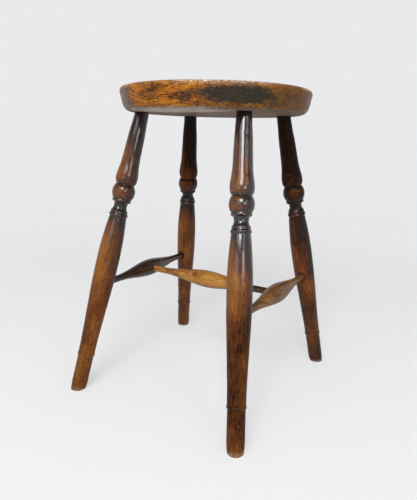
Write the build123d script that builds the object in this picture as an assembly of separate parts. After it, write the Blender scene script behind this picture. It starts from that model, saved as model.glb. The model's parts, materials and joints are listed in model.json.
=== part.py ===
from build123d import *

import math
import os

# A country stool: a thick round seat on four turned legs, tied low down by an H of three
# turned stretchers. The legs splay both ways out of blind sockets in the seat's underside.
# Every joint is a round tenon in a bored socket, as the real stool is put together.
# Millimetres, +Z up. The origin is on the floor, in the middle of the four feet. +Y is the
# back and +X the right.

# ---- the seat ------------------------------------------------------------------------------
UNDERSIDE_HEIGHT = 562.0
SEAT_THICKNESS = 45.0
SEAT_TOP_RADIUS = 188.3       # where the sloping edge would meet the top, before the rounding
SEAT_EDGE_LEAN = 9.6          # how far the edge leans outwards, from the underside to the top
SEAT_TOP_ROUND = 8.5
SEAT_BOTTOM_ROUND = 18.0
# The board was neither centred on its sockets nor on the feet.
SEAT_MIDDLE_X = 15.0
SEAT_MIDDLE_Y = 2.0

# ---- where the legs stand ------------------------------------------------------------------
SOCKET_MIDDLE_X = 12.0      # the middle of the four sockets, from the feet's middle
SOCKET_HALF_WIDTH = 113.0   # leg axes at the seat's underside, from the sockets' middle, along X
SOCKET_HALF_DEPTH = 84.0    # the same along Y
FOOT_HALF_WIDTH = 200.0     # leg axes at the floor, along X
FOOT_HALF_DEPTH = 208.0     # the same along Y
# The sockets were bored by eye, so two of the feet stand nearer the middle along X.
FRONT_LEFT_DRAWN_IN = 24.0
BACK_RIGHT_DRAWN_IN = 8.0

# ---- the turning of a leg, from the top down ------------------------------------------------
# Heights are measured along the leg's axis, each from the end of the one before.
TENON_DEPTH = 32.0          # the leg's own end, let into the seat
TENON_CHAMFER = 1.5
ROOT_RADIUS = 14.0          # the tenon, and the leg where it leaves the seat
VASE_HEIGHT = 131.0         # from the seat's underside to the shoulder
VASE_UPPER_RADIUS = 16.1    # a third of the way down the vase
VASE_LOWER_RADIUS = 17.5    # two thirds of the way down
VASE_FLARE_RADIUS = 19.0    # five sixths of the way down
SHOULDER_RADIUS = 21.7
SHOULDER_BAND = 2.0         # the shoulder's full width, above its rounding
SHOULDER_ROUND = 12.0
NECK_RADIUS = 17.6
BALL_HEIGHT = 30.0
BALL_RADIUS = 22.7
BALL_FOOT_RADIUS = 17.9
COLLAR_BEVEL = 1.4
COLLAR_HEIGHT = 4.0
COLLAR_RADIUS = 18.5
COVE_UPPER = 8.6            # from the collar to the waist
WAIST_RADIUS = 12.9
COVE_LOWER = 9.5            # from the waist to the small ring
SMALL_RING_HEIGHT = 2.6
SMALL_RING_RADIUS = 16.6
RING_BEVEL = 2.4
RING_HEIGHT = 7.0
RING_RADIUS = 18.7
STEP_RADIUS = 17.0          # either side of the ring, where the baluster starts
BELLY_BELOW_RING = 110.0
BELLY_RADIUS = 22.4
CALF_RADIUS = 19.3          # halfway from the belly to the foot ring
ANKLE_RADIUS = 16.5         # just above the foot ring
FOOT_RING_RADIUS = 17.4
FOOT_RING_HEIGHT = 6.0
FOOT_HEIGHT = 73.0          # from the foot ring to the floor
FOOT_RADIUS = 15.8
FOOT_WEAR = 1.0             # the worn edge round the foot

# ---- the stretchers ------------------------------------------------------------------------
STRETCHER_HEIGHT = 220.0    # all three axes lie this high over the floor
STRETCHER_END_RADIUS = 7.0
STRETCHER_CHAMFER = 1.0
SIDE_MIDDLE_RADIUS = 18.6
SIDE_SLIM_END = 44.0        # from the leg's axis to where the swelling starts
CROSS_MIDDLE_RADIUS = 18.2
CROSS_SLIM_END = 46.0       # from the side stretcher's axis
END_SHORT_OF_AXIS = 4.0     # a stretcher stops this far before the axis that it points at

# ---- clearances ----------------------------------------------------------------------------
SOCKET_CLEARANCE = 0.1      # between a tenon and its socket's wall, all round
SOCKET_END_GAP = 0.3        # between a tenon's end and the bottom of its socket
MOUTH_MARGIN = 1.0          # how far a leg stays parallel past its socket's mouth

# ---- the four corners: side (-1 left, 1 right), end (-1 front, 1 back), foot drawn in -------
CORNERS = {
    "front_left": (-1, -1, FRONT_LEFT_DRAWN_IN),
    "front_right": (1, -1, 0.0),
    "back_left": (-1, 1, 0.0),
    "back_right": (1, 1, BACK_RIGHT_DRAWN_IN),
}

DOWN = (0, 1)               # directions in a turning's outline, drawn as (radius, distance)
INWARD = (-1, 0)


def turned(*edges):
    """Spins a closed outline of (radius, distance) about the Z axis."""
    return revolve(Plane.XZ * make_face(Wire(edges)), Axis.Z)


def along(start, direction):
    """The plane at start whose Z runs along direction."""
    return Plane(origin=start, z_dir=direction)


def socket(bottom, outward, radius, length):
    """The cutter for a blind round socket whose tenon ends at bottom and leaves along outward."""
    drill = Cylinder(radius + SOCKET_CLEARANCE, length, align=(Align.CENTER, Align.CENTER, Align.MIN))
    return along(bottom - outward * SOCKET_END_GAP, outward) * drill


class LegAxis:
    """A leg's centre line, from the seat's underside to the floor."""

    def __init__(self, side, end, drawn_in):
        self.top = Vector(
            SOCKET_MIDDLE_X + side * SOCKET_HALF_WIDTH, end * SOCKET_HALF_DEPTH, UNDERSIDE_HEIGHT
        )
        self.foot = Vector(side * (FOOT_HALF_WIDTH - drawn_in), end * FOOT_HALF_DEPTH, 0)
        self.length = (self.foot - self.top).length
        self.down = (self.foot - self.top).normalized()
        self.slope = math.hypot(self.down.X, self.down.Y) / abs(self.down.Z)

    def at_height(self, height):
        return self.foot + (self.top - self.foot) * (height / UNDERSIDE_HEIGHT)


AXES = {corner: LegAxis(*place) for corner, place in CORNERS.items()}


def leg_blank(axis):
    """A leg as it leaves the lathe: tenon, vase, ball, waist, rings, baluster and foot."""
    parallel = (ROOT_RADIUS + SOCKET_CLEARANCE) * axis.slope + MOUTH_MARGIN
    past_floor = FOOT_RADIUS * axis.slope + MOUTH_MARGIN
    end = axis.length + past_floor

    band = VASE_HEIGHT + SHOULDER_BAND
    neck = band + SHOULDER_ROUND
    ball_foot = neck + BALL_HEIGHT
    collar = ball_foot + COLLAR_BEVEL
    collar_foot = collar + COLLAR_HEIGHT
    waist = collar_foot + COVE_UPPER
    small_ring = waist + COVE_LOWER
    small_ring_foot = small_ring + SMALL_RING_HEIGHT
    ring = small_ring_foot + RING_BEVEL
    ring_foot = ring + RING_HEIGHT
    belly = ring_foot + BELLY_BELOW_RING
    foot = axis.length - FOOT_HEIGHT
    foot_ring = foot - FOOT_RING_HEIGHT

    tenon = Polyline(
        (0, -TENON_DEPTH),
        (ROOT_RADIUS - TENON_CHAMFER, -TENON_DEPTH),
        (ROOT_RADIUS, TENON_CHAMFER - TENON_DEPTH),
        (ROOT_RADIUS, parallel),
    )
    vase = Spline(
        (ROOT_RADIUS, parallel),
        (VASE_UPPER_RADIUS, VASE_HEIGHT / 3),
        (VASE_LOWER_RADIUS, VASE_HEIGHT * 2 / 3),
        (VASE_FLARE_RADIUS, VASE_HEIGHT * 5 / 6),
        (SHOULDER_RADIUS, VASE_HEIGHT),
        tangents=[DOWN, DOWN],
    )
    shoulder = Line((SHOULDER_RADIUS, VASE_HEIGHT), (SHOULDER_RADIUS, band))
    shoulder_round = Spline((SHOULDER_RADIUS, band), (NECK_RADIUS, neck), tangents=[DOWN, (-1, 1)])
    ball = ThreePointArc(
        (NECK_RADIUS, neck), (BALL_RADIUS, (neck + ball_foot) / 2), (BALL_FOOT_RADIUS, ball_foot)
    )
    collar_band = Polyline(
        (BALL_FOOT_RADIUS, ball_foot), (COLLAR_RADIUS, collar), (COLLAR_RADIUS, collar_foot)
    )
    cove_upper = Spline((COLLAR_RADIUS, collar_foot), (WAIST_RADIUS, waist), tangents=[INWARD, DOWN])
    cove_lower = Spline((WAIST_RADIUS, waist), (SMALL_RING_RADIUS, small_ring), tangents=[DOWN, (1, 1)])
    small_ring_band = Polyline(
        (SMALL_RING_RADIUS, small_ring), (SMALL_RING_RADIUS, small_ring_foot), (STEP_RADIUS, ring)
    )
    ring_bead = ThreePointArc(
        (STEP_RADIUS, ring), (RING_RADIUS, (ring + ring_foot) / 2), (STEP_RADIUS, ring_foot)
    )
    baluster = Spline(
        (STEP_RADIUS, ring_foot),
        (BELLY_RADIUS, belly),
        (CALF_RADIUS, (belly + foot_ring) / 2),
        (ANKLE_RADIUS, foot_ring),
    )
    foot_bead = ThreePointArc(
        (ANKLE_RADIUS, foot_ring), (FOOT_RING_RADIUS, (foot_ring + foot) / 2), (FOOT_RADIUS, foot)
    )
    foot_post = Polyline((FOOT_RADIUS, foot), (FOOT_RADIUS, end), (0, end), (0, -TENON_DEPTH))
    return turned(
        *tenon.edges(), vase, shoulder, shoulder_round, ball, *collar_band.edges(), cove_upper,
        cove_lower, *small_ring_band.edges(), ring_bead, baluster, foot_bead, *foot_post.edges()
    )


def stretcher(start, end, slim_end, middle_radius):
    """A stretcher between two axes: slim ends that are its tenons, and a swollen middle."""
    span = (end - start).length
    first, last, middle = END_SHORT_OF_AXIS, span - END_SHORT_OF_AXIS, span / 2
    tip = STRETCHER_END_RADIUS - STRETCHER_CHAMFER
    front_end = Polyline(
        (0, first),
        (tip, first),
        (STRETCHER_END_RADIUS, first + STRETCHER_CHAMFER),
        (STRETCHER_END_RADIUS, slim_end),
    )
    swelling = Spline(
        (STRETCHER_END_RADIUS, slim_end),
        (middle_radius, middle),
        (STRETCHER_END_RADIUS, span - slim_end),
        tangents=[DOWN, DOWN],
    )
    back_end = Polyline(
        (STRETCHER_END_RADIUS, span - slim_end),
        (STRETCHER_END_RADIUS, last - STRETCHER_CHAMFER),
        (tip, last),
        (0, last),
        (0, first),
    )
    solid = turned(*front_end.edges(), swelling, *back_end.edges())
    return along(start, (end - start).normalized()) * solid


def stretcher_socket(axis_point, towards, widest):
    """The socket that takes a stretcher's end, bored towards the other end of that stretcher."""
    outward = (towards - axis_point).normalized()
    return socket(axis_point + outward * END_SHORT_OF_AXIS, outward, STRETCHER_END_RADIUS, 2 * widest)


# ---- the axes of the stretchers -------------------------------------------------------------
ENDS = {corner: axis.at_height(STRETCHER_HEIGHT) for corner, axis in AXES.items()}
PARTNER = {
    "front_left": "back_left", "back_left": "front_left",
    "front_right": "back_right", "back_right": "front_right",
}
SIDE_MIDDLES = {
    side: (ENDS[f"front_{side}"] + ENDS[f"back_{side}"]) / 2 for side in ("left", "right")
}


def make_leg(corner):
    axis = AXES[corner]
    leg = split(along(axis.top, axis.down) * leg_blank(axis), bisect_by=Plane.XY, keep=Keep.TOP)
    sole = leg.faces().sort_by(Axis.Z)[0]
    leg = chamfer(sole.edges(), FOOT_WEAR)
    return leg - stretcher_socket(ENDS[corner], ENDS[PARTNER[corner]], BELLY_RADIUS)


def make_side_stretcher(side):
    other = "right" if side == "left" else "left"
    spindle = stretcher(ENDS[f"front_{side}"], ENDS[f"back_{side}"], SIDE_SLIM_END, SIDE_MIDDLE_RADIUS)
    return spindle - stretcher_socket(SIDE_MIDDLES[side], SIDE_MIDDLES[other], SIDE_MIDDLE_RADIUS)


def make_seat():
    top = UNDERSIDE_HEIGHT + SEAT_THICKNESS
    bottom_radius = SEAT_TOP_RADIUS - SEAT_EDGE_LEAN
    section = make_face(Polyline(
        (0, UNDERSIDE_HEIGHT), (bottom_radius, UNDERSIDE_HEIGHT), (SEAT_TOP_RADIUS, top), (0, top),
        close=True,
    ).edges())
    lower_corner = section.vertices().sort_by(Axis.Y)[:2].sort_by(Axis.X)[-1]
    section = fillet(lower_corner, SEAT_BOTTOM_ROUND)
    upper_corner = section.vertices().sort_by(Axis.Y)[-2:].sort_by(Axis.X)[-1]
    section = fillet(upper_corner, SEAT_TOP_ROUND)
    seat = Pos(SEAT_MIDDLE_X, SEAT_MIDDLE_Y, 0) * revolve(Plane.XZ * section, Axis.Z)
    for axis in AXES.values():
        seat -= socket(axis.top - axis.down * TENON_DEPTH, axis.down, ROOT_RADIUS, 2 * TENON_DEPTH)
    return seat


def build():
    parts = {"seat": make_seat()}
    for corner in CORNERS:
        parts[f"leg_{corner}"] = make_leg(corner)
    for side in SIDE_MIDDLES:
        parts[f"side_stretcher_{side}"] = make_side_stretcher(side)
    parts["cross_stretcher"] = stretcher(
        SIDE_MIDDLES["left"], SIDE_MIDDLES["right"], CROSS_SLIM_END, CROSS_MIDDLE_RADIUS
    )
    return parts


os.makedirs("parts", exist_ok=True)
for node, solid in build().items():
    export_step(solid, f"parts/{node}.step")
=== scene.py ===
import json
import math

import bmesh
import bpy
import numpy as np
from mathutils import Matrix, Vector
from mathutils.bvhtree import BVHTree


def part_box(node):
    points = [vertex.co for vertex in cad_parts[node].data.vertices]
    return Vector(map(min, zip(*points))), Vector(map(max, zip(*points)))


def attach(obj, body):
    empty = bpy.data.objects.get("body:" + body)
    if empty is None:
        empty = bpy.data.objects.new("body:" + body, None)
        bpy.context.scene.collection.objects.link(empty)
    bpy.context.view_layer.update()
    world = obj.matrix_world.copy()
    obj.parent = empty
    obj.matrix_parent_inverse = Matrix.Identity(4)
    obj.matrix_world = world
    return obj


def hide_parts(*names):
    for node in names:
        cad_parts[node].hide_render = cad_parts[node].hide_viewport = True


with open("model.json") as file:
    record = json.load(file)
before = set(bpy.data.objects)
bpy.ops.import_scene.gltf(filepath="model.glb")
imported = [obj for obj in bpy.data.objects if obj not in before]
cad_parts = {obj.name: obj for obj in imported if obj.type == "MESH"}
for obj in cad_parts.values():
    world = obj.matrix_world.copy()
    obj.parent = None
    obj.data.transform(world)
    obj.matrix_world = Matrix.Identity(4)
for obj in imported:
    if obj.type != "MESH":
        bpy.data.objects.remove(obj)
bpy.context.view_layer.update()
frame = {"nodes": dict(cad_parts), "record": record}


# ==== The seat ===============================================================================
# One round of elm board, its grain running from side to side. The lower edge is rounded off
# with a spokeshave and the upper one by wear, and four blind sockets underneath take the legs.
# It was stained and polished amber brown, and spills have left black stains in its front edge.
SEAT_LOW, SEAT_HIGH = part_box("seat")
SEAT_MIDDLE = Vector(((SEAT_LOW.x + SEAT_HIGH.x) / 2, (SEAT_LOW.y + SEAT_HIGH.y) / 2, SEAT_LOW.z))
SEAT_THICKNESS = SEAT_HIGH.z - SEAT_LOW.z
SEAT_RADIUS = (SEAT_HIGH.x - SEAT_LOW.x) / 2
SEAT_AROUND = 320           # points round the rim
RIM_PITCH = 0.0002          # between the places where the edge's outline is felt
RIM_STEP = 0.0016           # between points over the edge
FACE_STEP = 0.006           # between rings on the flat faces
RIM_DINGS = 46
RIM_WIDTH = 0.012           # the outermost part of the top, which is knocked and not sat on
SADDLING = 0.0012           # how deep sitting has hollowed the top
SADDLE_REACH = 0.8          # how far out it is hollowed, as a share of the radius
POLISH_STARTS = 0.0048      # how high up the edge the polish starts
POLISH_BLEND = 0.0016
SOCKET_MIDDLE_X = 0.012     # the middle of the four sockets, from the feet's middle
SOCKET_HALF_WIDTH = 0.113   # leg axes at the underside, from the sockets' middle
SOCKET_HALF_DEPTH = 0.084
SOCKET_CLEARANCE = 0.0001
SOCKET_END_GAP = 0.0003     # between a tenon's end and the bottom of its socket
SEAT_DRILL_LENGTH = 0.06
TENON_RADIUS = 0.014
TENON_DEPTH = 0.032
CORNERS = {"front_left": (-1, -1), "front_right": (1, -1), "back_left": (-1, 1), "back_right": (1, 1)}
FEET = {
    mount["name"].removeprefix("foot_"): Vector(mount["pos_m"])
    for mount in frame["record"]["mounts"] if mount["name"].startswith("foot_")
}
LEG_TOPS = {
    corner: Vector((SOCKET_MIDDLE_X + side * SOCKET_HALF_WIDTH, end * SOCKET_HALF_DEPTH, SEAT_LOW.z))
    for corner, (side, end) in CORNERS.items()
}


def felt_outline(node, start, along, first, last, pitch):
    """A turned part's radii, felt from seven sides, and the even distances where it is felt."""
    mesh = frame["nodes"][node].data
    tree = BVHTree.FromPolygons([v.co for v in mesh.vertices], [p.vertices for p in mesh.polygons])
    sides = 7
    clear = 0.3
    across = along.orthogonal().normalized()
    distances = np.arange(first, last, pitch)
    radii = []
    for distance in distances:
        middle = start + along * distance
        reached = []
        for side in range(sides):
            out = Matrix.Rotation(math.tau * side / sides, 3, along) @ across
            hit = tree.ray_cast(middle + out * clear, -out, clear)[0]
            if hit is not None:
                reached.append((hit - middle).length)
        radii.append(np.median(reached))
    return np.array(radii), distances


def spun_mesh(name, radii, distances, around):
    """A closed mesh spun about Z. Each row of the arrays is a ring, and each column a point of it."""
    turn = np.linspace(0, math.tau, around, endpoint=False)
    rings = np.stack([radii * np.cos(turn), radii * np.sin(turn), distances + 0 * turn], axis=-1)
    count = len(rings)
    first_middle, last_middle = (Vector((0, 0, rings[end, :, 2].mean())) for end in (0, -1))
    points = [first_middle, *rings.reshape(-1, 3), last_middle]
    last = count * around + 1
    faces = []
    for j in range(around):
        k = (j + 1) % around
        faces.append((0, 1 + k, 1 + j))
        faces.append((last, last - around + j, last - around + k))
        for i in range(count - 1):
            row = 1 + i * around
            faces.append((row + j, row + k, row + around + k, row + around + j))
    mesh = bpy.data.meshes.new(name)
    mesh.from_pydata(points, [], faces)
    return mesh


def shown(name, mesh, matrix):
    """The object that shows a mesh, with its faces turned outwards."""
    shape = bmesh.new()
    shape.from_mesh(mesh)
    bmesh.ops.recalc_face_normals(shape, faces=shape.faces)
    shape.to_mesh(mesh)
    shape.free()
    piece = bpy.data.objects.new(name, mesh)
    bpy.context.scene.collection.objects.link(piece)
    piece.matrix_world = matrix
    return piece


def bored(piece, bottom, outward, radius, depth):
    """Bores a round socket into a piece, from its bottom outwards."""
    drill_sides = 48
    drill = bpy.data.meshes.new("drill")
    shape = bmesh.new()
    bmesh.ops.create_cone(
        shape, cap_ends=True, segments=drill_sides, radius1=radius, radius2=radius, depth=depth,
        matrix=Matrix.Translation((0, 0, depth / 2)),
    )
    shape.to_mesh(drill)
    shape.free()
    facing = outward.to_track_quat("Z", "Y").to_matrix().to_4x4()
    cutter = shown("drill", drill, Matrix.Translation(bottom) @ facing)
    cut = piece.modifiers.new("socket", "BOOLEAN")
    cut.object = cutter
    cut.solver = "EXACT"
    bpy.context.view_layer.update()
    done = bpy.data.meshes.new_from_object(piece.evaluated_get(bpy.context.evaluated_depsgraph_get()))
    piece.modifiers.clear()
    piece.data = done
    bpy.data.objects.remove(cutter)


def smoothed(piece, sharp_angle=math.radians(38)):
    """Shades a piece smooth, apart from its hard corners."""
    piece.data.shade_smooth()
    piece.data.set_sharp_from_angle(angle=sharp_angle)


def marked(piece, name, values):
    """Gives each point of a piece a number that its finish reads."""
    mark = piece.data.attributes.new(name, "FLOAT", "POINT")
    mark.data.foreach_set("value", np.asarray(values, np.float32))


def points_of(piece):
    """The points of a piece as an array, in its own space."""
    points = np.zeros(len(piece.data.vertices) * 3)
    piece.data.vertices.foreach_get("co", points)
    return points.reshape(-1, 3)


def seat_mesh():
    """The seat with its hand-cut edge, dinged rim and slightly hollowed top."""
    draw = np.random.default_rng(11)
    skin = 0.00005              # the edge is felt from just inside the underside
    rim_starts, rim_blend = 0.82, 0.15      # shares of the radius
    dings_near_top, top_band = 0.65, 0.1    # their share there, and the band's share of the edge
    radii, heights = felt_outline(
        "seat", SEAT_MIDDLE, Vector((0, 0, 1)), skin, SEAT_THICKNESS, RIM_PITCH
    )
    lengths = np.append(0, np.cumsum(np.hypot(np.diff(radii), np.diff(heights))))
    steps = np.linspace(0, lengths[-1], round(lengths[-1] / RIM_STEP))
    edge_radii = np.interp(steps, lengths, radii)
    edge_heights = np.interp(steps, lengths, heights)
    under = np.arange(FACE_STEP, edge_radii[0] - FACE_STEP / 2, FACE_STEP)
    over = np.arange(FACE_STEP, edge_radii[-1] - FACE_STEP / 2, FACE_STEP)[::-1]
    ring_radii = np.concatenate([under, edge_radii, over])[:, None]
    ring_heights = np.concatenate([0 * under, edge_heights, 0 * over + SEAT_THICKNESS])[:, None]
    turn = np.linspace(0, math.tau, SEAT_AROUND, endpoint=False)[None, :]

    near_rim = np.clip((ring_radii / SEAT_RADIUS - rim_starts) / rim_blend, 0, 1)
    # Each ripple: how many go round the rim, how deep they are, and how far they lean over the edge.
    ripples = ((2, 0.0003, 0.4), (3, 0.0003, 1.0), (7, 0.00016, 2.0), (13, 0.00012, 3.0))
    hand_cut = sum(
        size * np.cos(waves * turn + draw.uniform(0, math.tau) + lean * ring_heights / SEAT_THICKNESS)
        for waves, size, lean in ripples
    )
    radii = ring_radii - hand_cut * near_rim
    heights = ring_heights + 0 * turn
    top = ring_heights > SEAT_THICKNESS / 2
    heights = heights - top * SADDLING * np.clip(1 - (ring_radii / (SADDLE_REACH * SEAT_RADIUS)) ** 2, 0, 1)
    for _ in range(RIM_DINGS):
        angle = draw.uniform(0, math.tau)
        near_top = draw.uniform() < dings_near_top
        level = SEAT_THICKNESS * (1 - top_band * draw.uniform() ** 2 if near_top else draw.uniform())
        width = draw.uniform(0.002, 0.007)
        tall = width * draw.uniform(0.35, 1.0)
        deep = draw.uniform(0.0002, 0.0009)
        away = (turn - angle + math.pi) % math.tau - math.pi
        reach = (away * SEAT_RADIUS / width) ** 2 + ((ring_heights - level) / tall) ** 2
        radii = radii - near_rim * deep * np.exp(-reach)
    return spun_mesh("seat_board", radii, heights, SEAT_AROUND)


seat = shown("seat_board", seat_mesh(), Matrix.Translation(SEAT_MIDDLE))
for corner, top in LEG_TOPS.items():
    down = (FEET[corner] - top).normalized()
    bottom = top - down * (TENON_DEPTH + SOCKET_END_GAP)
    bored(seat, bottom, down, TENON_RADIUS + SOCKET_CLEARANCE, SEAT_DRILL_LENGTH)
smoothed(seat)

# Where the finish differs: dirt round the legs, the rubbed top arris, the sat-on top, the underside.
dirt_reach, rub_reach, sat_on_blend = 0.006, 0.004, 0.03
seat_x, seat_y, seat_height = points_of(seat).T
from_middle = np.hypot(seat_x, seat_y)
underneath = np.clip((POLISH_STARTS - seat_height) / POLISH_BLEND, 0, 1)
beside_legs = np.zeros(len(seat_height))
for top in LEG_TOPS.values():
    leg_place = top - SEAT_MIDDLE
    from_leg = np.hypot(seat_x - leg_place.x, seat_y - leg_place.y)
    dirt = np.exp(-np.clip(from_leg - TENON_RADIUS, 0, 1) / dirt_reach)
    beside_legs = np.maximum(beside_legs, underneath * dirt)
inside_rim = SEAT_RADIUS - RIM_WIDTH - from_middle
near_top = np.exp(-((seat_height - SEAT_THICKNESS) / rub_reach) ** 2)
marked(seat, "hollow", beside_legs)
marked(seat, "rubbed", near_top * (inside_rim < 0))
marked(seat, "sat_on", (seat_height > SEAT_THICKNESS / 2) * np.clip(inside_rim / sat_on_blend, 0, 1))
marked(seat, "underside", underneath)


def feed(tree, node, inputs):
    """Fills a node's inputs. A socket is linked to its input, and any other value is set there."""
    for name, value in inputs.items():
        if isinstance(value, bpy.types.NodeSocket):
            tree.links.new(value, node.inputs[name])
        else:
            node.inputs[name].default_value = value


def add(tree, kind, inputs=None, **settings):
    """A new node in a tree, with its settings and what it is fed."""
    node = tree.nodes.new("ShaderNode" + kind)
    for name, value in settings.items():
        setattr(node, name, value)
    feed(tree, node, inputs or {})
    return node


def calc(tree, operation, *values, clamp=False):
    """One step of arithmetic on numbers or sockets."""
    return add(tree, "Math", dict(enumerate(values)), operation=operation, use_clamp=clamp).outputs[0]


def times(tree, first, second):
    """The product of two numbers or sockets."""
    return calc(tree, "MULTIPLY", first, second)


def rise(tree, value, low, high):
    """0 below low and 1 above high, with a soft step between. With low above high it falls."""
    inputs = {"Value": value, "From Min": low, "From Max": high}
    return add(tree, "MapRange", inputs, interpolation_type="SMOOTHSTEP").outputs[0]


def tint(tree, share, first, second, how="MIX"):
    """Blends a second colour into the first."""
    mixer = add(tree, "Mix", {0: share, 6: first, 7: second}, data_type="RGBA", blend_type=how)
    return mixer.outputs[2]


def cloud(tree, place, scale, detail, seed=0.0, roughness=0.55):
    """Soft random patches between 0 and 1, around 0.5, with about scale of them to the metre."""
    inputs = {"Vector": place, "W": seed, "Scale": scale, "Detail": detail, "Roughness": roughness}
    return add(tree, "TexNoise", inputs, noise_dimensions="4D").outputs[0]


def stretched(tree, place, x, y, z):
    """A place with its axes scaled."""
    return add(tree, "VectorMath", {0: place, 1: (x, y, z)}, operation="MULTIPLY").outputs[0]


def from_axis(tree, place):
    """How far a place lies from the Z axis."""
    flat = stretched(tree, place, 1, 1, 0)
    return add(tree, "VectorMath", {0: flat}, operation="LENGTH").outputs["Value"]


def effect(name, inputs, outputs):
    """An empty node group: its tree, what comes in, and the node that puts out."""
    kinds = {"vector": "NodeSocketVector", "number": "NodeSocketFloat", "colour": "NodeSocketColor"}
    tree = bpy.data.node_groups.new(name, "ShaderNodeTree")
    for socket, kind in inputs.items():
        tree.interface.new_socket(socket, in_out="INPUT", socket_type=kinds[kind])
    for socket, kind in outputs.items():
        tree.interface.new_socket(socket, in_out="OUTPUT", socket_type=kinds[kind])
    return tree, tree.nodes.new("NodeGroupInput").outputs, tree.nodes.new("NodeGroupOutput")


def timber_effect():
    """Growth rings round a pith that runs along Z, long streaks, and the pores of open grain."""
    tree, given, put = effect(
        "timber",
        {"Place": "vector", "Pith": "vector", "Ring Width": "number", "Waver": "number", "Seed": "number"},
        {"Rings": "number", "Streaks": "number", "Pores": "number"},
    )
    long_grain = stretched(tree, given["Place"], 1, 1, 0.07)
    wander = calc(tree, "SUBTRACT", cloud(tree, long_grain, 30, 3, given["Seed"]), 0.5)
    from_pith = add(tree, "VectorMath", {0: given["Place"], 1: given["Pith"]}, operation="SUBTRACT")
    radius = from_axis(tree, from_pith.outputs[0])
    radius = calc(tree, "ADD", radius, times(tree, wander, given["Waver"]))
    year = calc(tree, "FRACT", calc(tree, "DIVIDE", radius, given["Ring Width"]))
    late_wood = times(tree, calc(tree, "POWER", year, 2.2), rise(tree, year, 1.0, 0.9))
    streaks = cloud(tree, stretched(tree, given["Place"], 1, 1, 0.03), 620, 4, given["Seed"], 0.62)
    pore_place = stretched(tree, given["Place"], 1, 1, 0.06)
    pores = rise(tree, cloud(tree, pore_place, 1700, 1, given["Seed"]), 0.6, 0.7)
    pores = times(tree, pores, rise(tree, year, 0.75, 0.1))
    feed(tree, put, {"Rings": late_wood, "Streaks": streaks, "Pores": pores})
    return tree


def polish_effect():
    """An old stained polish: a thin glaze first, then a film that is thick and dark in the hollows
    and rubbed off where the wood stands proud."""
    packed_dirt = (0.010, 0.006, 0.004, 1)
    tree, given, put = effect(
        "old_polish",
        {"Place": "vector", "Wood": "colour", "Glaze": "colour", "Film": "colour", "Cover": "number",
         "Blotch": "number", "Hollow": "number", "Rubbed": "number", "Seed": "number"},
        {"Colour": "colour", "Gloss": "number", "Roughness": "number"},
    )
    broad = calc(tree, "SUBTRACT", cloud(tree, given["Place"], 34, 5, given["Seed"], 0.6), 0.5)
    fine = calc(tree, "SUBTRACT", cloud(tree, given["Place"], 260, 4, given["Seed"], 0.65), 0.5)
    uneven = calc(tree, "MULTIPLY_ADD", fine, 0.9, times(tree, broad, 1.5))
    left = calc(tree, "MULTIPLY_ADD", uneven, given["Blotch"], given["Cover"])
    left = calc(tree, "SUBTRACT", left, given["Rubbed"])
    left = calc(tree, "ADD", left, given["Hollow"], clamp=True)
    glazed = tint(tree, rise(tree, left, 0.0, 0.55), given["Wood"], given["Glaze"], "MULTIPLY")
    colour = tint(tree, rise(tree, left, 0.4, 1.0), glazed, given["Film"], "MULTIPLY")
    colour = tint(tree, calc(tree, "MULTIPLY", given["Hollow"], 0.85, clamp=True), colour, packed_dirt)
    roughness = calc(tree, "MULTIPLY_ADD", left, -0.2, 0.55)
    roughness = calc(tree, "MULTIPLY_ADD", fine, 0.25, roughness)
    gloss = calc(tree, "MULTIPLY_ADD", left, 0.6, 0.4)
    feed(tree, put, {"Colour": colour, "Gloss": gloss, "Roughness": roughness})
    return tree


def patch_effect():
    """A ragged patch round a place, as a spill, a stain or a worn spot leaves."""
    tree, given, put = effect(
        "patch",
        {"Place": "vector", "Middle": "vector", "Reach": "vector", "Ragged": "number", "Soft": "number"},
        {"Mask": "number"},
    )
    offset = add(tree, "VectorMath", {0: given["Place"], 1: given["Middle"]}, operation="SUBTRACT")
    share = add(tree, "VectorMath", {0: offset.outputs[0], 1: given["Reach"]}, operation="DIVIDE")
    away = add(tree, "VectorMath", {0: share.outputs[0]}, operation="LENGTH").outputs["Value"]
    ragged_place = stretched(tree, given["Place"], 1, 1, 3)
    ragged = calc(tree, "SUBTRACT", cloud(tree, ragged_place, 75, 7, 3.0, 0.72), 0.5)
    away = calc(tree, "MULTIPLY_ADD", ragged, given["Ragged"], away)
    outer = calc(tree, "ADD", 1.0, given["Soft"])
    inner = calc(tree, "SUBTRACT", 1.0, given["Soft"])
    feed(tree, put, {"Mask": rise(tree, away, outer, inner)})
    return tree


def knocks_effect():
    """Small dents, nicks and fine scratches."""
    tree, given, put = effect(
        "knocks",
        {"Place": "vector", "Spacing": "number", "Seed": "number"},
        {"Mask": "number", "Scratches": "number"},
    )
    scale = calc(tree, "DIVIDE", 1.0, given["Spacing"])
    inputs = {"Vector": given["Place"], "W": given["Seed"], "Scale": scale, "Randomness": 1.0}
    cells = add(tree, "TexVoronoi", inputs, voronoi_dimensions="4D")
    chance = add(tree, "SeparateColor", {0: cells.outputs["Color"]}).outputs[0]
    chosen = rise(tree, chance, 0.55, 0.6)
    nick = times(tree, rise(tree, cells.outputs["Distance"], 0.26, 0.12), chosen)
    leaning = add(tree, "VectorRotate", {"Vector": given["Place"], "Angle": 0.9}, rotation_type="Y_AXIS")
    scratch_place = stretched(tree, leaning.outputs[0], 1, 1, 0.035)
    scratches = rise(tree, cloud(tree, scratch_place, 520, 2, given["Seed"]), 0.64, 0.7)
    feed(tree, put, {"Mask": nick, "Scratches": scratches})
    return tree


TIMBER = timber_effect()
POLISH = polish_effect()
PATCH = patch_effect()
KNOCKS = knocks_effect()


def use(tree, effect_tree, inputs):
    """Places an effect in a material and returns what it puts out."""
    return add(tree, "Group", inputs, node_tree=effect_tree).outputs


def mark_of(tree, name):
    """A number that the piece's points carry."""
    return add(tree, "Attribute", attribute_name=name).outputs["Fac"]


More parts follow.
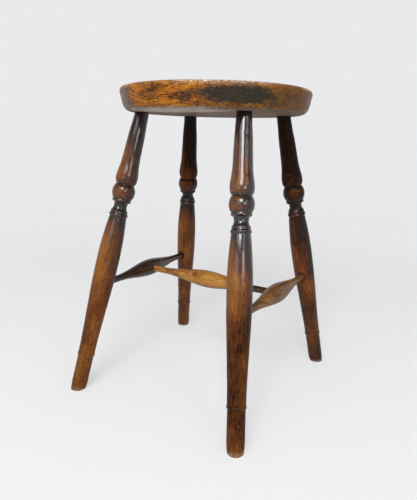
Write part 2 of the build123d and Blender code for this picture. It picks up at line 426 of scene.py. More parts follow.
def finished(name):
    """A new material: its tree and its Principled shader, which has old polish over dull wood."""
    material = bpy.data.materials.new(name)
    material.use_nodes = True
    tree = material.node_tree
    surface = tree.nodes["Principled BSDF"]
    feed(tree, surface, {"Specular IOR Level": 0.06, "Coat Roughness": 0.1})
    return material, tree, surface


def ragged_patch(tree, place, middle, reach, ragged, soft):
    """Where a ragged patch lies."""
    inputs = {"Place": place, "Middle": middle, "Reach": reach, "Ragged": ragged, "Soft": soft}
    return use(tree, PATCH, inputs)["Mask"]


def normals_of(tree, distance, strength, ground, *layers):
    """The normals of a relief: a ground, and layers that each stand up or sink by a share."""
    relief = ground
    for layer, share in layers:
        relief = calc(tree, "MULTIPLY_ADD", layer, share, relief)
    return add(tree, "Bump", {"Height": relief, "Distance": distance, "Strength": strength}).outputs[0]


def elm_wood(tree, place, along_grain):
    """The colour of raw amber elm, with its dark streaks, pores and flecks, and its timber."""
    pale_elm = (0.455, 0.175, 0.012, 1)
    red_elm = (0.25, 0.070, 0.003, 1)
    dark_elm = (0.10, 0.03, 0.002, 1)
    pore_brown = (0.05, 0.02, 0.003, 1)
    fleck_brown = (0.06, 0.017, 0.001, 1)

    axes = add(tree, "SeparateXYZ", {0: place}).outputs
    grain_place = add(tree, "CombineXYZ", {0: axes[1], 1: axes[2], 2: axes[0]}).outputs[0]
    timber = use(tree, TIMBER, {
        "Place": grain_place, "Pith": (0.05, -0.13, 0), "Ring Width": 0.0075, "Waver": 0.035, "Seed": 2.0,
    })
    wood = tint(tree, timber["Rings"], pale_elm, red_elm)
    wood = tint(tree, rise(tree, timber["Streaks"], 0.45, 0.66), wood, dark_elm)
    wood = tint(tree, times(tree, timber["Pores"], 0.6), wood, pore_brown)
    flecks = rise(tree, cloud(tree, along_grain, 300, 4, 4.0, 0.7), 0.50, 0.60)
    flecks = times(tree, flecks, rise(tree, cloud(tree, place, 45, 3, 6.0), 0.35, 0.6))
    return tint(tree, times(tree, flecks, 0.8), wood, fleck_brown), timber


def stains_and_sheen_on(tree, place, streaks, colour):
    """Adds the black and brown stains of the edge, and a grey patch that is partly a painted reflection; all
    are darker along the wood's streaks.
    """
    # Each stain: its middle, its reach, how ragged and how soft it is, how strong, and its colour.
    stains = (
        ((0.184, -0.030, 0.022), (0.055, 0.095, 0.028), 1.6, 0.35, 0.72, (0.052, 0.025, 0.007)),
        # Second row: the grey patch at the front left, dusty wear and partly a painted reflection of the pale
        # room at a grazing angle.
        ((-0.111, -0.150, 0.022), (0.034, 0.034, 0.026), 3.2, 0.75, 0.75, (0.088, 0.068, 0.047)),
        ((0.126, -0.136, 0.023), (0.082, 0.082, 0.021), 2.4, 0.35, 0.65, (0.075, 0.034, 0.011)),
        ((0.128, -0.134, 0.023), (0.064, 0.064, 0.0135), 1.8, 0.16, 0.92, (0.013, 0.013, 0.009)),
        ((-0.025, -0.184, 0.023), (0.020, 0.030, 0.009), 2.2, 0.3, 0.6, (0.034, 0.012, 0.005)),
        ((0.040, -0.182, 0.026), (0.012, 0.020, 0.004), 2.0, 0.3, 0.4, (0.030, 0.012, 0.005)),
    )
    streak_shades = (1.5, 0.6)      # how pale and how dark a stain is between and on the streaks
    for middle, reach, ragged, soft, strength, stain in stains:
        mask = ragged_patch(tree, place, middle, reach, ragged, soft)
        paler, darker = (tuple(shade * part for part in stain) + (1,) for shade in streak_shades)
        stained = tint(tree, rise(tree, streaks, 0.38, 0.62), paler, darker)
        colour = tint(tree, times(tree, mask, strength), colour, stained)
    return colour


def worn_arris_and_glints(tree, place, along_grain, rubbed, colour):
    """Rubs the top arris dull all round, and flecks it near white at the front and in places: fresh wood
    where it is chipped, and partly painted glints of light.
    """
    rubbed_elm = (0.17, 0.115, 0.07, 1)
    # near white: fresh wood, and partly a painted glint
    chip_and_glint_elm = (0.85, 0.74, 0.55, 1)
    chip_glints_start, chip_glints_whole = SEAT_RADIUS - 0.008, SEAT_RADIUS - 0.003

    chip_glints_front = ragged_patch(tree, place, (0.105, -0.150, 0.043), (0.080, 0.070, 0.02), 1.6, 0.3)
    chip_glints_here = rise(tree, cloud(tree, place, 16, 2, 1.0), 0.46, 0.62)
    chip_glints_here = calc(tree, "MAXIMUM", chip_glints_front, chip_glints_here)
    outermost = rise(tree, from_axis(tree, place), chip_glints_start, chip_glints_whole)
    # Sparse near white flecks on the outermost arris: chipped wood, and partly painted glints of light.
    chip_glints = rise(tree, cloud(tree, along_grain, 420, 3, 9.0), 0.50, 0.57)
    chip_glints = times(tree, chip_glints, times(tree, chip_glints_here, outermost))
    colour = tint(tree, times(tree, rubbed, 0.55), colour, rubbed_elm)
    return tint(tree, times(tree, chip_glints, rubbed), colour, chip_and_glint_elm)


def grey_underside(tree, place, streaks):
    """The colour of old bare elm, with a dusty patch near the front."""
    grey_elm = (0.19, 0.15, 0.11, 1)
    grey_streak = (0.045, 0.034, 0.025, 1)
    dusty_grey = (0.52, 0.48, 0.42, 1)

    dusty = ragged_patch(tree, place, (-0.005, -0.118, 0), (0.095, 0.055, 0.01), 1.4, 0.3)
    colour = tint(tree, rise(tree, streaks, 0.38, 0.64), grey_elm, grey_streak)
    return tint(tree, times(tree, dusty, 0.7), colour, dusty_grey)


def elm_finish():
    """Amber polished elm with its wild grain, black stained spots, nicks and a bare underside."""
    nick_dirt = (0.03, 0.014, 0.006, 1)
    scratch_and_glint_elm = (0.40, 0.27, 0.14, 1)

    material, tree, surface = finished("amber_elm")
    place = add(tree, "TexCoord").outputs["Object"]
    along_grain = stretched(tree, place, 0.5, 1, 1.1)
    wood, timber = elm_wood(tree, place, along_grain)
    rubbed = mark_of(tree, "rubbed")
    sat_on = mark_of(tree, "sat_on")
    polish = use(tree, POLISH, {
        "Place": stretched(tree, place, 0.4, 0.85, 2.0), "Wood": wood, "Glaze": (0.55, 0.46, 0.35, 1),
        "Film": (0.22, 0.20, 0.18, 1), "Cover": 0.42, "Blotch": calc(tree, "MULTIPLY_ADD", sat_on, -1.5, 2.8),
        "Hollow": mark_of(tree, "hollow"), "Seed": 5.0,
        "Rubbed": calc(tree, "MULTIPLY_ADD", rubbed, 0.4, times(tree, sat_on, 0.12)),
    })
    colour = stains_and_sheen_on(tree, place, timber["Streaks"], polish["Colour"])
    colour = worn_arris_and_glints(tree, place, along_grain, rubbed, colour)
    knocks = use(tree, KNOCKS, {"Place": place, "Spacing": 0.012, "Seed": 1.0})
    colour = tint(tree, times(tree, knocks["Mask"], 0.6), colour, nick_dirt)
    # Pale scratches: scratched polish, and partly painted glints of light along them.
    colour = tint(tree, times(tree, knocks["Scratches"], 0.28), colour, scratch_and_glint_elm)
    bare = times(tree, mark_of(tree, "underside"), 0.8)
    gloss_here = calc(tree, "MULTIPLY_ADD", bare, -0.32, 0.32)
    feed(tree, surface, {
        "Base Color": tint(tree, bare, colour, grey_underside(tree, place, timber["Streaks"])),
        "Roughness": calc(tree, "MULTIPLY_ADD", bare, 0.3, polish["Roughness"]),
        "Coat Weight": times(tree, polish["Gloss"], gloss_here),
        "Normal": normals_of(
            tree, 0.0006, 0.55, timber["Streaks"], (timber["Rings"], -0.25), (timber["Pores"], -0.6),
            (knocks["Mask"], -1.4), (cloud(tree, place, 150, 3, 8.0), 1.6),
        ),
    })
    return material


seat.data.materials.append(elm_finish())
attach(seat, "root")
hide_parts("seat")


# ==== The legs ===============================================================================
# Four ash legs, turned between centres: a tapered vase, a ball, a thin waist, rings and a long
# baluster over a plain foot. Each is driven into its socket at a splay and cut off level with
# the floor. Dark red-brown polish lies thick in the grooves and is rubbed thin on the swellings.
LEG_AROUND = 56
LEG_DINGS = 40
TURNING_PITCH = 0.0003      # between the places where a turned part's outline is felt
OUTLINE_SAG = 0.000018      # how far the mesh may cut inside the outline
LONGEST_STEP = 0.0036
ARRIS_WEAR = 0.0005         # how far handling has rounded the sharp arrises
OUT_OF_ROUND = 0.010        # wood shrinks more one way than the other
FOOT_SCUFF = 0.0012         # how far the floor has worn the edge of a foot inwards
FOOT_SCUFF_REACH = 0.0016
FIRST_LEG_SEED = 21
PAST_FLOOR = 0.012          # how much of a leg's length the level cut takes
LEG_LENGTH = 0.60           # from the seat's underside to past the floor
LEG_FREE_FROM = 0.005       # how far below the seat a leg's small faults start
THICKEST_POLISH = 1.5       # the most that polish_left can say, below
STRETCHER_HEIGHT = (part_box("cross_stretcher")[0].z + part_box("cross_stretcher")[1].z) / 2
STRETCHER_END_RADIUS = 0.007
STRETCHER_DRILL_LENGTH = 0.03
END_SHORT_OF_AXIS = 0.004   # a stretcher stops this far before the axis that it points at
JOINT_DIRT_REACH = 0.002


def softened(values, reach, pitch):
    """Values averaged with their neighbours, over a reach either side."""
    count = max(1, round(reach / pitch))
    weights = np.hanning(2 * count + 3)[1:-1]
    padded = np.pad(values, count, mode="edge")
    return np.convolve(padded, weights / weights.sum(), mode="valid")


def needed(radii, distances):
    """Which points an outline needs: where it bends, and at least every longest step."""
    kept = [0]
    for i in range(2, len(radii)):
        j = kept[-1]
        share = (distances[j:i] - distances[j]) / (distances[i] - distances[j])
        chord = radii[j] + (radii[i] - radii[j]) * share
        if np.abs(chord - radii[j:i]).max() > OUTLINE_SAG or distances[i] - distances[j] > LONGEST_STEP:
            kept.append(i - 1)
    return [*kept, len(radii) - 1]


def turned_piece(name, node, start, along, first, last, free_span, around, seed, dings, outward):
    """A turned part with its small faults, but none in its joints, outside the free span. Its own Z
    is its axis, and its X faces outward."""
    draw = np.random.default_rng(seed)
    skin = 0.0001               # the outline is felt from just inside the end
    free_blend = 0.01
    # Each waver: how many go round, how deep they are, and the length in which they turn once.
    wavers = ((1, 0.00010, 0.31), (2, 0.00006, 0.083), (3, 0.00005, 0.047), (5, 0.00003, 0.021))
    radii, distances = felt_outline(node, start, along, first + skin, last, TURNING_PITCH)
    sharp = radii.copy()
    radii = softened(radii, ARRIS_WEAR, TURNING_PITCH)
    radii[0] = sharp[0]
    keep = needed(radii, distances)
    ring_radii = radii[keep][:, None]
    ring_distances = distances[keep][:, None]
    turn = np.linspace(0, math.tau, around, endpoint=False)[None, :]
    free = np.clip((ring_distances - free_span[0]) / free_blend, 0, 1)
    free = free * np.clip((free_span[1] - ring_distances) / free_blend, 0, 1)
    oval = OUT_OF_ROUND / 2 * np.cos(2 * turn + draw.uniform(0, math.tau))
    uneven = sum(
        size * np.cos(waves * turn + draw.uniform(0, math.tau) + math.tau * ring_distances / length)
        for waves, size, length in wavers
    )
    points = ring_radii * (1 + oval * free) + uneven * free
    for _ in range(dings):
        at = draw.uniform(first, last)
        angle = draw.uniform(0, math.tau)
        width = draw.uniform(0.0015, 0.006)
        tall = width * draw.uniform(0.4, 2.0)
        deep = draw.uniform(0.0001, 0.00055)
        away = ((turn - angle + math.pi) % math.tau - math.pi) * ring_radii
        reach = (away / width) ** 2 + ((ring_distances - at) / tall) ** 2
        points = points - free * deep * np.exp(-reach)
    mesh = spun_mesh(name, points, ring_distances, around)
    side = (outward - along * outward.dot(along)).normalized()
    axes = Matrix((side, along.cross(side), along)).transposed().to_4x4()
    piece = shown(name, mesh, Matrix.Translation(start) @ axes)
    return piece, radii, distances


def finish_marks(piece, radii, distances, joints):
    """Marks the grooves and joints where dirt lies, the proud places that get rubbed, and what
    stands close to the floor. A joint is where a stretcher's axis starts, and its direction."""
    sole_reach = 0.004
    # The outline is compared with its own average, over a long reach and a short one. Each row: the
    # reach, a groove's full depth and how much it counts, and a swelling's full height and the same.
    rows = ((0.014, 0.0035, 1.0, 0.0022, 1.0), (0.005, 0.0009, 0.8, 0.0008, 0.5))
    sunk = proud = 0
    for reach, depth, depth_share, height, height_share in rows:
        missing = softened(radii, reach, TURNING_PITCH) - radii
        sunk = sunk + depth_share * np.clip(missing / depth, 0, 1)
        proud = proud + height_share * np.clip(-missing / height, 0, 1)
    points = points_of(piece)
    down = points[:, 2]
    hollow = np.interp(down, distances, sunk)
    world = points @ np.array(piece.matrix_world.to_3x3()).T + np.array(piece.matrix_world.translation)
    for middle, direction in joints:
        offset = world - np.array(middle)
        lengthwise = offset @ np.array(direction)
        from_stretcher = np.linalg.norm(offset - np.outer(lengthwise, direction), axis=1)
        beside = np.clip(from_stretcher - STRETCHER_END_RADIUS, 0, 1)
        hollow = np.maximum(hollow, 0.7 * (lengthwise > 0) * np.exp(-beside / JOINT_DIRT_REACH))
    marked(piece, "hollow", np.clip(hollow, 0, 1))
    marked(piece, "sole", np.exp(-np.clip(world[:, 2], 0, 1) / sole_reach))
    marked(piece, "rubbed", np.clip(np.interp(down, distances, proud), 0, 1))


def level_cut(piece):
    """Runs a leg's plain foot on through the floor, cuts it off level and closes its sole."""
    one_ring = 0.0001
    shape = bmesh.new()
    shape.from_mesh(piece.data)
    lowest = max(v.co.z for v in shape.verts)
    for point in shape.verts:
        if point.co.z > lowest - one_ring:
            point.co.z += 2 * PAST_FLOOR
    shape.transform(piece.matrix_world)
    cut = bmesh.ops.bisect_plane(
        shape, geom=[*shape.verts, *shape.edges, *shape.faces], plane_co=(0, 0, 0), plane_no=(0, 0, -1),
        clear_outer=True,
    )
    rim = [edge for edge in cut["geom_cut"] if isinstance(edge, bmesh.types.BMEdge)]
    bmesh.ops.contextual_create(shape, geom=rim)
    middle = sum((v.co for e in rim for v in e.verts), Vector()) / (2 * len(rim))
    for point in shape.verts:
        near_floor = math.exp(-point.co.z / FOOT_SCUFF_REACH)
        inward = middle - point.co
        inward.z = 0
        point.co += inward.normalized() * FOOT_SCUFF * near_floor
    shape.transform(piece.matrix_world.inverted())
    bmesh.ops.recalc_face_normals(shape, faces=shape.faces)
    shape.to_mesh(piece.data)
    shape.free()


def stretcher_end(corner):
    """Where a stretcher's line meets a leg's axis."""
    top, foot = LEG_TOPS[corner], FEET[corner]
    return foot + (top - foot) * (STRETCHER_HEIGHT / top.z)


def stretcher_socket(piece, axis_point, inward):
    """Bores the socket of a stretcher that points at an axis from inside."""
    bottom = axis_point + inward * (END_SHORT_OF_AXIS - SOCKET_END_GAP)
    bored(piece, bottom, inward, STRETCHER_END_RADIUS + SOCKET_CLEARANCE, STRETCHER_DRILL_LENGTH)


SIDE_PAIRS = {"left": ("front_left", "back_left"), "right": ("front_right", "back_right")}
PARTNERS = {corner: partner for pair in SIDE_PAIRS.values() for corner, partner in (pair, pair[::-1])}
SIDE_MIDDLES = {
    side: (stretcher_end(front) + stretcher_end(back)) / 2 for side, (front, back) in SIDE_PAIRS.items()
}


def straight_wood(tree, timber, colours, streak_share, pore_share):
    """The colour of raw straight-grained wood, from its pale, red, streak and pore colours."""
    pale, red, streak, pore = colours
    streaks = times(tree, rise(tree, timber["Streaks"], 0.45, 0.72), streak_share)
    wood = tint(tree, timber["Rings"], pale, red)
    wood = tint(tree, streaks, wood, streak)
    return tint(tree, times(tree, timber["Pores"], pore_share), wood, pore)


def polish_down_leg(tree, place, down, polish_left, worn_side):
    """How much of the dark polish is left, from a leg's own list and its worn side."""
    worn_until, worn_fades = 0.32, 0.44
    ramp = add(tree, "ValToRGB", {0: calc(tree, "DIVIDE", down, LEG_LENGTH)})
    stops = ramp.color_ramp.elements
    for distance, _ in polish_left[1:-1]:
        stops.new(distance / LEG_LENGTH)
    for stop, (_, left) in zip(stops, polish_left):
        grey = left / THICKEST_POLISH
        stop.color = (grey, grey, grey, 1)
    worn = add(tree, "VectorMath", {0: place, 1: (*worn_side, 0)}, operation="DOT_PRODUCT").outputs["Value"]
    worn = times(tree, worn, rise(tree, down, worn_fades, worn_until))
    return calc(tree, "SUBTRACT", times(tree, ramp.outputs[0], THICKEST_POLISH), worn)


def ash_finish(name, seed, polish_left, worn_side, gloss, gloss_blur, scuffed):
    """Dark red-brown polished ash. polish_left says how much of the dark polish is left at some
    distances down the leg, from its top to LEG_LENGTH, and worn_side how much less of it there is
    for each metre along the leg's own X and Y. gloss gives a distance and a share, and a lower
    distance and its share. gloss_blur is how dull the polish is, and scuffed how worn the foot."""
    pale_ash = (0.208, 0.079, 0.012, 1)
    red_ash = (0.130, 0.041, 0.0055, 1)
    streak_brown = (0.06, 0.018, 0.003, 1)
    pore_brown = (0.03, 0.012, 0.004, 1)
    nick_dirt = (0.015, 0.009, 0.006, 1)
    scratched_ash = (0.34, 0.22, 0.13, 1)
    fleck_ash = (0.30, 0.17, 0.08, 1)
    chipped_ash = (0.36, 0.26, 0.16, 1)
    dirty_until, dirt_fades = 0.40, 0.47            # distances down the leg
    scuffs_start, scuffs_whole = 0.52, 0.575

    material, tree, surface = finished(name)
    place = add(tree, "TexCoord").outputs["Object"]
    down = add(tree, "SeparateXYZ", {0: place}).outputs[2]
    timber = use(tree, TIMBER, {
        "Place": place, "Pith": (0.045, 0.03, 0), "Ring Width": 0.0032, "Waver": 0.012, "Seed": seed,
    })
    dirt_left = calc(tree, "MULTIPLY_ADD", rise(tree, down, dirt_fades, dirty_until), 0.85, 0.15)
    polish = use(tree, POLISH, {
        "Wood": straight_wood(tree, timber, (pale_ash, red_ash, streak_brown, pore_brown), 0.5, 0.4),
        "Glaze": (0.50, 0.36, 0.26, 1), "Film": (0.10, 0.11, 0.14, 1), "Blotch": 1.2, "Seed": seed,
        "Place": stretched(tree, place, 1, 1, 0.45),
        "Cover": polish_down_leg(tree, place, down, polish_left, worn_side),
        "Hollow": times(tree, mark_of(tree, "hollow"), dirt_left),
        "Rubbed": times(tree, mark_of(tree, "rubbed"), 0.04),
    })

    knocks = use(tree, KNOCKS, {"Place": place, "Spacing": 0.011, "Seed": seed})
    worn_foot = times(tree, rise(tree, down, scuffs_start, scuffs_whole), scuffed)
    flecks = rise(tree, cloud(tree, place, 270, 2, seed + 5), 0.69, 0.75)
    chipped = rise(tree, cloud(tree, place, 330, 3, seed + 9), 0.62, 0.45)
    chipped = times(tree, chipped, rise(tree, mark_of(tree, "sole"), 0.35, 1.0))
    colour = tint(tree, times(tree, knocks["Mask"], 0.55), polish["Colour"], nick_dirt)
    colour = tint(tree, times(tree, worn_foot, knocks["Scratches"]), colour, scratched_ash)
    colour = tint(tree, times(tree, flecks, 0.5), colour, fleck_ash)
    colour = tint(tree, times(tree, chipped, 0.5), colour, chipped_ash)
    (high, gloss_high), (low, gloss_low) = gloss
    gloss_here = calc(tree, "MULTIPLY_ADD", rise(tree, down, high, low), gloss_low - gloss_high, gloss_high)
    lathe_lines = cloud(tree, stretched(tree, place, 0.05, 0.05, 1), 900, 2, seed)
    fine_waves = cloud(tree, stretched(tree, place, 1, 1, 0.5), 420, 3, seed)
    feed(tree, surface, {
        "Base Color": colour,
        "Roughness": calc(tree, "MULTIPLY_ADD", worn_foot, 0.25, polish["Roughness"]),
        "Coat Weight": times(tree, polish["Gloss"], gloss_here),
        "Coat Roughness": gloss_blur,
        "Coat IOR": 1.6,
        "Normal": normals_of(
            tree, 0.0006, 0.5, timber["Streaks"], (timber["Pores"], -0.7), (lathe_lines, 0.35),
            (knocks["Mask"], -1.3), (cloud(tree, place, 130, 2, seed), 1.8), (fine_waves, 0.9),
        ),
    })
    return material


LEG_FINISHES = {
    "front_left": dict(
        seed=3.0, worn_side=(18, 0), gloss=((0.22, 0.72), (0.40, 0.18)), gloss_blur=0.11, scuffed=0.8,
        polish_left=(
            (0, 1.35), (0.07, 0.7), (0.125, 0.55), (0.14, 0.74), (0.155, 0.7), (0.168, 0.6), (0.176, 1.0),
            (0.208, 1.1), (0.23, 0.65), (0.27, 0.36), (0.50, 0.38), (0.58, 0.45), (0.60, 1.5),
        ),
    ),
    "front_right": dict(
        seed=7.0, worn_side=(0, 20), gloss=((0.22, 1.0), (0.40, 0.06)), gloss_blur=0.13, scuffed=0.7,
        polish_left=(
            (0, 1.35), (0.06, 0.82), (0.12, 0.62), (0.15, 0.78), (0.160, 0.9), (0.170, 0.7), (0.177, 1.4),
            (0.215, 1.4), (0.245, 0.8), (0.28, 0.52), (0.34, 0.55), (0.40, 0.68), (0.50, 0.86), (0.58, 0.60),
            (0.60, 1.5),
        ),
    ),
    # The back legs are near black at the top, under the seat: the thickest polish, and partly painted shade
    # of the seat.
    "back_left": dict(
        seed=12.0, worn_side=(0, -12), gloss=((0.145, 0.03), (0.17, 0.32)), gloss_blur=0.12, scuffed=0.5,
        polish_left=(
            (0, 1.5), (0.125, 0.8), (0.14, 0.72), (0.16, 0.78), (0.19, 1.1), (0.215, 0.7), (0.26, 0.3),
            (0.34, 0.4), (0.58, 0.5), (0.60, 1.5),
        ),
    ),
    "back_right": dict(
        seed=16.0, worn_side=(-12, 0), gloss=((0.145, 0.02), (0.17, 0.25)), gloss_blur=0.12, scuffed=0.8,
        polish_left=(
            (0, 1.5), (0.15, 0.95), (0.17, 1.2), (0.24, 1.0), (0.29, 0.65), (0.36, 0.6), (0.58, 0.7),
            (0.60, 1.5),
        ),
    ),
}
for seed, (corner, top) in enumerate(LEG_TOPS.items(), FIRST_LEG_SEED):
    foot = FEET[corner]
    down = (foot - top).normalized()
    outward = Vector((foot.x, foot.y, 0)).normalized()
    leg, radii, distances = turned_piece(
        f"turned_leg_{corner}", f"leg_{corner}", top, down, -TENON_DEPTH, (foot - top).length - PAST_FLOOR,
        (LEG_FREE_FROM, LEG_LENGTH), LEG_AROUND, seed, LEG_DINGS, outward,
    )
    level_cut(leg)
    inward = (stretcher_end(PARTNERS[corner]) - stretcher_end(corner)).normalized()
    stretcher_socket(leg, stretcher_end(corner), inward)
    smoothed(leg)
    finish_marks(leg, radii, distances, [(stretcher_end(corner), inward)])
    leg.data.materials.append(ash_finish(f"leg_polish_{corner}", **LEG_FINISHES[corner]))
    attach(leg, "root")
    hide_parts(f"leg_{corner}")


# ==== The side stretchers ====================================================================
# Two turned spindles that run from a front leg to a back leg. Their slim ends are the tenons,
# glued into the legs, and the swollen middle of each is bored for the cross stretcher.
STRETCHER_AROUND = 44
STRETCHER_DINGS = 22
FIRST_SIDE_SEED = 31
STRETCHER_FREE_FROM = 0.022     # how far from the axes at its ends its small faults start
SIDE_COVER = {"left": 1.15, "right": 0.28}      # how much dark polish feet have left on each


def stretcher_finish(name, seed, cover, end_cover, length, pale, red, film):
    """Polished ash or beech, rubbed by feet along its swelling, with more polish left at its ends and
    underneath, whose darker colour is partly painted shade. end_cover is how much more at its start
    and at its end."""
    streak_brown = (0.07, 0.026, 0.009, 1)
    pore_brown = (0.03, 0.013, 0.006, 1)
    nick_dirt = (0.018, 0.010, 0.006, 1)
    end_whole, end_fades = 0.12 * length, 0.30 * length

    material, tree, surface = finished(name)
    place = add(tree, "TexCoord").outputs["Object"]
    upward, _, along = add(tree, "SeparateXYZ", {0: place}).outputs
    near_end = rise(tree, along, end_fades, end_whole)
    far_end = rise(tree, along, length - end_fades, length - end_whole)
    more = calc(tree, "MULTIPLY_ADD", near_end, end_cover[0], times(tree, far_end, end_cover[1]))
    # More dark polish on the lower half, which makes it darker: kept polish, and partly painted shade.
    more = calc(tree, "MULTIPLY_ADD", rise(tree, upward, 0.0, -0.015), 0.55, more)
    timber = use(tree, TIMBER, {
        "Place": place, "Pith": (0.03, 0.05, 0), "Ring Width": 0.0028, "Waver": 0.010, "Seed": seed,
    })
    wood = straight_wood(tree, timber, (pale, red, streak_brown, pore_brown), 0.7, 0.6)
    polish = use(tree, POLISH, {
        "Place": stretched(tree, place, 1, 1, 0.45), "Wood": wood, "Glaze": (0.6, 0.48, 0.4, 1), "Film": film,
        "Cover": calc(tree, "ADD", more, cover), "Blotch": 2.1, "Hollow": mark_of(tree, "hollow"),
        "Rubbed": times(tree, mark_of(tree, "rubbed"), 0.4), "Seed": seed,
    })
    knocks = use(tree, KNOCKS, {"Place": place, "Spacing": 0.010, "Seed": seed})
    feed(tree, surface, {
        "Base Color": tint(tree, times(tree, knocks["Mask"], 0.6), polish["Colour"], nick_dirt),
        "Roughness": polish["Roughness"],
        "Coat Weight": times(tree, polish["Gloss"], 0.6),
        "Normal": normals_of(
            tree, 0.0004, 0.4, timber["Streaks"], (timber["Pores"], -0.7), (knocks["Mask"], -1.3),
            (cloud(tree, place, 130, 2, seed), 1.8),
        ),
    })
    return material


def stretcher_piece(name, node, start, end, seed):
    """A stretcher between two axes, closed at its tenons' ends."""
    length = (end - start).length
    return turned_piece(
        name, node, start, (end - start).normalized(), END_SHORT_OF_AXIS, length - END_SHORT_OF_AXIS,
        (STRETCHER_FREE_FROM, length - STRETCHER_FREE_FROM), STRETCHER_AROUND, seed, STRETCHER_DINGS,
        Vector((0, 0, 1)),
    )


for seed, (side, (front, back)) in enumerate(SIDE_PAIRS.items(), FIRST_SIDE_SEED):
    start, end = stretcher_end(front), stretcher_end(back)
    spindle, radii, distances = stretcher_piece(
        f"turned_side_stretcher_{side}", f"side_stretcher_{side}", start, end, seed
    )
    other = SIDE_MIDDLES["right" if side == "left" else "left"]
    inward = (other - SIDE_MIDDLES[side]).normalized()
    stretcher_socket(spindle, SIDE_MIDDLES[side], inward)
    smoothed(spindle)
    finish_marks(spindle, radii, distances, [(SIDE_MIDDLES[side], inward)])
    spindle.data.materials.append(stretcher_finish(
        f"side_stretcher_polish_{side}", 4.0 + seed, cover=SIDE_COVER[side], end_cover=(0.2, 0.2),
        length=(end - start).length, pale=(0.25, 0.122, 0.030, 1), red=(0.14, 0.060, 0.012, 1),
        film=(0.20, 0.17, 0.11, 1),
    ))
    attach(spindle, "root")
    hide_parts(f"side_stretcher_{side}")


# ==== The cross stretcher ====================================================================
# One more spindle, from the middle of one side stretcher to the middle of the other. Shoes have
# worn most of its dark polish away, and the bare wood has been waxed to a honey colour.
CROSS_SEED = 41
start, end = SIDE_MIDDLES["left"], SIDE_MIDDLES["right"]
cross, radii, distances = stretcher_piece(
    "turned_cross_stretcher", "cross_stretcher", start, end, CROSS_SEED
)
smoothed(cross)
finish_marks(cross, radii, distances, [])
cross.data.materials.append(stretcher_finish(
    "cross_stretcher_polish", 4.0 + CROSS_SEED, cover=0.12, end_cover=(0.35, 1.1),
    length=(end - start).length, pale=(0.41, 0.200, 0.041, 1), red=(0.19, 0.076, 0.012, 1),
    film=(0.24, 0.19, 0.12, 1),
))
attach(cross, "root")
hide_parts("cross_stretcher")


# ==== The studio =============================================================================
# A white paper floor that curves up all round, a wide window at the front with one bright pane
# and a low sill, a small window with a blind at the right, and a camera below the seat's height.
CAMERA_PLACE = Vector((0.5249, -0.8327, 0.5165))
CAMERA_TURN = math.radians(31.85)       # from +Y towards -X
CAMERA_PITCH = math.radians(13.33)      # downwards
CAMERA_ROLL = math.radians(1.415)
CAMERA_LENS = 34.16
CAMERA_NEAREST = 0.05
INNER_RADIUS = 0.5
FLAT_RADIUS = 2.6
BEND_RADIUS = 0.9
BEND_STEPS = 12
PAPER_TOP = 1.9
PAPER_AROUND = 96
PAPER = (0.87, 0.87, 0.875, 1)
PAPER_SEEN = (0.82, 0.82, 0.83, 1)
GLOW_NEAR, GLOW_MORE = 0.5, 0.4         # how much the paper glows where it is seen, and more far out
GLOW_NEAR_RADIUS, GLOW_FAR_RADIUS = 0.8, 2.0
ROOM = (0.36, 0.365, 0.375, 1)
LIGHTS_AIM = Vector((0, 0, 0.35))
# Each light: its bearing and its height in degrees, its distance, width and height, and its power.
LIGHTS = {
    "front_window": (-92, 34, 4.6, 2.76, 2.22, 54),
    "front_window_pane": (-68, 38, 4.5, 1.85, 1.65, 124),
    "front_window_sill": (-92, 12, 3.0, 1.60, 0.60, 6),
    "right_window": (-34, 16, 3.0, 1.00, 0.66, 12),
    "right_window_blind": (-18, 28, 4.6, 2.45, 1.23, 20),
}


def white_paper():
    """Paper that the camera and the polish see partly as an even white, so that it stays white,
    but keeps the stool's shadow."""
    material = bpy.data.materials.new("white_paper")
    material.use_nodes = True
    tree = material.node_tree
    surface = tree.nodes["Principled BSDF"]
    feed(tree, surface, {"Base Color": PAPER, "Roughness": 0.9, "Specular IOR Level": 0.1})
    path = add(tree, "LightPath").outputs
    seen = calc(tree, "MAXIMUM", path["Is Camera Ray"], path["Is Glossy Ray"])
    seen = calc(tree, "MAXIMUM", seen, path["Is Transmission Ray"])
    from_middle = from_axis(tree, add(tree, "TexCoord").outputs["Object"])
    far_out = rise(tree, from_middle, GLOW_NEAR_RADIUS, GLOW_FAR_RADIUS)
    glow_share = times(tree, seen, calc(tree, "MULTIPLY_ADD", far_out, GLOW_MORE, GLOW_NEAR))
    glow = add(tree, "Emission", {"Color": PAPER_SEEN, "Strength": 1.0}).outputs[0]
    both = add(tree, "MixShader", {0: glow_share, 1: surface.outputs[0], 2: glow}).outputs[0]
    feed(tree, tree.nodes["Material Output"], {"Surface": both})
    return material


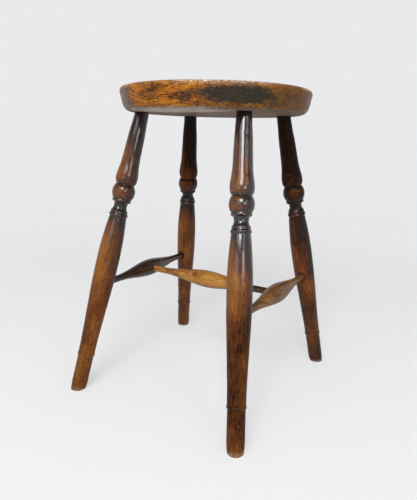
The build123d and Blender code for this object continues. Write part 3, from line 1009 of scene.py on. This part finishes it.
def paper_floor():
    """A round sheet of paper that runs flat, then curves up all round."""
    radii, heights = [INNER_RADIUS, FLAT_RADIUS], [0.0, 0.0]
    for step in range(1, BEND_STEPS + 1):
        angle = math.pi / 2 * step / BEND_STEPS
        radii.append(FLAT_RADIUS + BEND_RADIUS * math.sin(angle))
        heights.append(BEND_RADIUS * (1 - math.cos(angle)))
    radii.append(FLAT_RADIUS + BEND_RADIUS)
    heights.append(PAPER_TOP)
    turn = np.linspace(0, math.tau, PAPER_AROUND, endpoint=False)
    points = [(0, 0, 0)]
    for radius, height in zip(radii, heights):
        points += [(radius * math.cos(t), radius * math.sin(t), height) for t in turn]
    faces = []
    for j in range(PAPER_AROUND):
        k = (j + 1) % PAPER_AROUND
        faces.append((0, 1 + j, 1 + k))
        for i in range(len(radii) - 1):
            row = 1 + i * PAPER_AROUND
            faces.append((row + j, row + PAPER_AROUND + j, row + PAPER_AROUND + k, row + k))
    mesh = bpy.data.meshes.new("paper_floor")
    mesh.from_pydata(points, [], faces)
    floor = shown("paper_floor", mesh, Matrix())
    floor.data.shade_smooth()
    floor.data.materials.append(white_paper())
    return floor


paper_floor()


def window_light(name, bearing, rise_angle, distance, width, height, power):
    """A rectangular light that faces the stool's middle."""
    light = bpy.data.lights.new(name, "AREA")
    light.shape = "RECTANGLE"
    light.size = width
    light.size_y = height
    light.energy = power
    lamp = bpy.data.objects.new(name, light)
    bpy.context.scene.collection.objects.link(lamp)
    turn, lift = math.radians(bearing), math.radians(rise_angle)
    back = Vector((math.cos(turn) * math.cos(lift), math.sin(turn) * math.cos(lift), math.sin(lift)))
    lamp.location = LIGHTS_AIM + back * distance
    lamp.rotation_mode = "QUATERNION"
    lamp.rotation_quaternion = back.to_track_quat("Z", "Y")


for name, values in LIGHTS.items():
    window_light(name, *values)

world = bpy.data.worlds.new("room")
bpy.context.scene.world = world
world.use_nodes = True
world.node_tree.nodes["Background"].inputs["Color"].default_value = ROOM

camera = bpy.data.objects.new("camera", bpy.data.cameras.new("camera"))
bpy.context.scene.collection.objects.link(camera)
camera.data.lens = CAMERA_LENS
camera.data.clip_start = CAMERA_NEAREST
camera.matrix_world = (
    Matrix.Translation(CAMERA_PLACE) @ Matrix.Rotation(CAMERA_TURN, 4, "Z")
    @ Matrix.Rotation(math.pi / 2 - CAMERA_PITCH, 4, "X") @ Matrix.Rotation(CAMERA_ROLL, 4, "Z")
)
bpy.context.scene.camera = camera
bpy.context.scene.view_settings.view_transform = "Standard"
